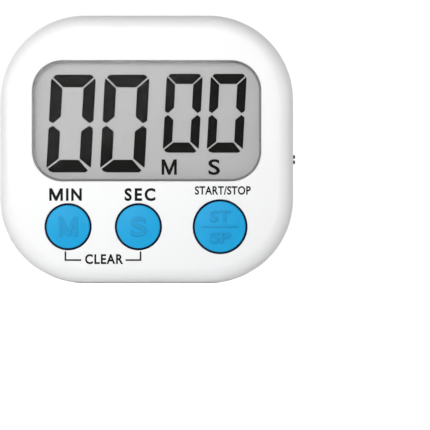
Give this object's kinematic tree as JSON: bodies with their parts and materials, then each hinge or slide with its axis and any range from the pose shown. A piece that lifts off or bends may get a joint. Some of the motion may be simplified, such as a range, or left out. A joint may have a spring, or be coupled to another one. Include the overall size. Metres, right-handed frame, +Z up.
{
  "type": "kitchen timer",
  "caption": "Rounded-square digital kitchen timer with a display window, round keys, a side slide switch, a fold-out stand, magnets, a hanging slot and a battery door",
  "frame": {"origin": "the middle of the flat base that the timer stands on: X = 0 on the shells' middle plane, Y = 0 half way between the key tops and the back, Z = 0 on the base", "axes": "+Z up the face, +X to the right of someone who looks at the display, +Y backwards through the body, so the display faces -Y"},
  "size_m": [0.0766, 0.0188, 0.0695],
  "materials": {
    "shell_white": "semi-gloss moulded",
    "key_blue": "semi-gloss moulded",
    "lens_clear": "clear polished window",
    "display_glass": "thin clear glass",
    "display_film": "fine matt grey film",
    "zebra_rubber": "matt",
    "silicone": "matt",
    "carbon_pill": "matt",
    "circuit_board": "satin lacquer",
    "epoxy": "gloss",
    "black_plastic": "fine spark texture",
    "capacitor_sleeve": "shrink sleeve",
    "nickel_can": "bright plated",
    "spring_steel": "tinned",
    "screw_steel": "zinc plated",
    "magnet_ferrite": "ground matt",
    "sounder_brass": "rolled sheet",
    "sounder_ceramic": "matt, silvered",
    "cell_wrap": "satin foil sleeve",
    "lead_red": "satin sleeve",
    "lead_black": "satin sleeve"
  },
  "bodies": {
    "timer_body": {"front_shell": "shell_white", "rear_shell": "shell_white", "display_lens": "lens_clear", "magnet_left": "magnet_ferrite", "magnet_right": "magnet_ferrite", "lcd_front_polariser": "display_film", "lcd_front_glass": "display_glass", "lcd_rear_glass": "display_glass", "lcd_reflector": "display_film", "zebra_strip": "zebra_rubber", "key_mat": "silicone", "main_board": "circuit_board", "chip_blob": "epoxy", "crystal_can": "nickel_can", "capacitor": "capacitor_sleeve", "choke_coil": "black_plastic", "switch_can": "spring_steel", "switch_base": "black_plastic", "battery_cell": "cell_wrap", "battery_spring_contact": "spring_steel", "battery_flat_contact": "spring_steel", "battery_lead_black": "lead_black", "battery_lead_red": "lead_red", "sounder_disc": "sounder_brass", "sounder_ceramic": "sounder_ceramic", "sounder_lead_black": "lead_black", "sounder_lead_red": "lead_red", "case_screw_1": "screw_steel", "board_screw_1": "screw_steel", "case_screw_2": "screw_steel", "board_screw_2": "screw_steel", "case_screw_3": "screw_steel", "board_screw_3": "screw_steel", "case_screw_4": "screw_steel", "board_screw_4": "screw_steel"},
    "minute_key_set": {"minute_key": "key_blue", "minute_dome_crown": "silicone", "minute_contact_pill": "carbon_pill"},
    "second_key_set": {"second_key": "key_blue", "second_dome_crown": "silicone", "second_contact_pill": "carbon_pill"},
    "start_stop_key_set": {"start_stop_key": "key_blue", "start_stop_dome_crown": "silicone", "start_stop_contact_pill": "carbon_pill"},
    "power_slider": {"switch_stem": "black_plastic", "switch_knob": "black_plastic"},
    "fold_out_stand": {"stand": "shell_white"},
    "battery_cover": {"battery_door": "shell_white"}
  },
  "joints": [
    {"name": "minute_key_press", "type": "slide", "parent": "timer_body", "child": "minute_key_set", "axis": [0, 1, 0], "range_m": [0, 0.0009], "stiffness_N_per_m": 500, "springref_m": -0.001},
    {"name": "second_key_press", "type": "slide", "parent": "timer_body", "child": "second_key_set", "axis": [0, 1, 0], "range_m": [0, 0.0009], "stiffness_N_per_m": 500, "springref_m": -0.001},
    {"name": "start_stop_key_press", "type": "slide", "parent": "timer_body", "child": "start_stop_key_set", "axis": [0, 1, 0], "range_m": [0, 0.0009], "stiffness_N_per_m": 500, "springref_m": -0.001},
    {"name": "power_slide", "type": "slide", "parent": "timer_body", "child": "power_slider", "axis": [0, 0, -1], "range_m": [0, 0.002]},
    {"name": "stand_hinge", "type": "hinge", "parent": "timer_body", "child": "fold_out_stand", "pos_m": [0, 0.0079, 0.035], "axis": [1, 0, 0], "range_deg": [0, 52]},
    {"name": "battery_cover_hinge", "type": "hinge", "parent": "timer_body", "child": "battery_cover", "pos_m": [0, 0.0094, 0.05285], "axis": [1, 0, 0], "range_deg": [0, 60]}
  ]
}
